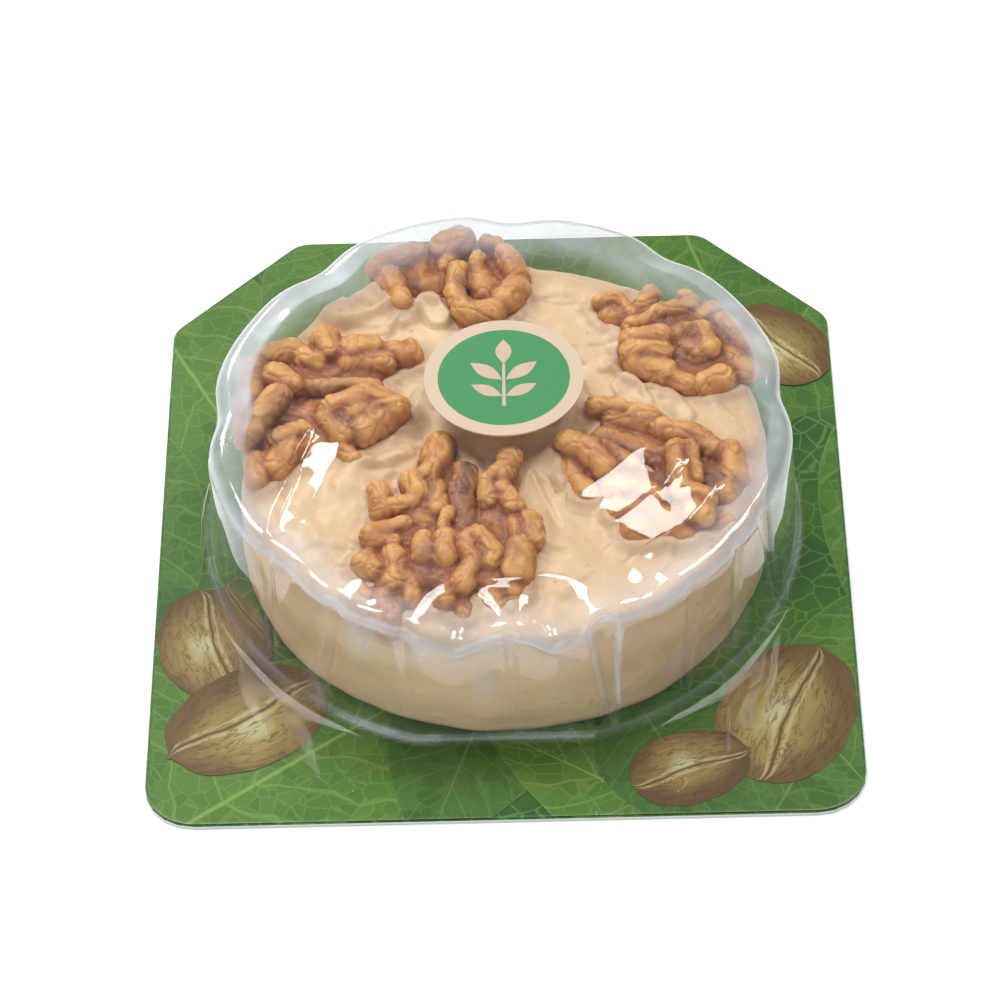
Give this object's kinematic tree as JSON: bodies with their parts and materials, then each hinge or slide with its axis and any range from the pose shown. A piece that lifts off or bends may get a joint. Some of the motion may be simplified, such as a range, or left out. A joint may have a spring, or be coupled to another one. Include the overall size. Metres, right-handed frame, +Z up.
{
  "type": "walnut processed cheese in a clear pack",
  "caption": "Round soft processed cheese topped with walnut halves, sealed under a lobed clear film dome on a flat printed card with cut rear corners.",
  "frame": {"origin": "centre of the card's underside, the flat face that the pack rests on", "axes": "+Z up through the dome, +Y from the rounded front edge to the rear edge with its cut corners, +X to the right as seen from the front"},
  "size_m": [0.112, 0.1284, 0.0284],
  "materials": {
    "card_print": "green leaf print under gloss laminate",
    "clear_film": "clear, glossy, slightly milky at its folds",
    "cheese": "soft cream paste, spread by knife",
    "walnut": "thin brown skin, slightly waxy",
    "label": "smooth printed label"
  },
  "bodies": {
    "root": {"base_card": "card_print", "clear_film": "clear_film", "cheese": "cheese", "walnut_back": "walnut", "walnut_left": "walnut", "walnut_front": "walnut", "walnut_right": "walnut", "walnut_right_back": "walnut", "label": "label"}
  },
  "joints": []
}
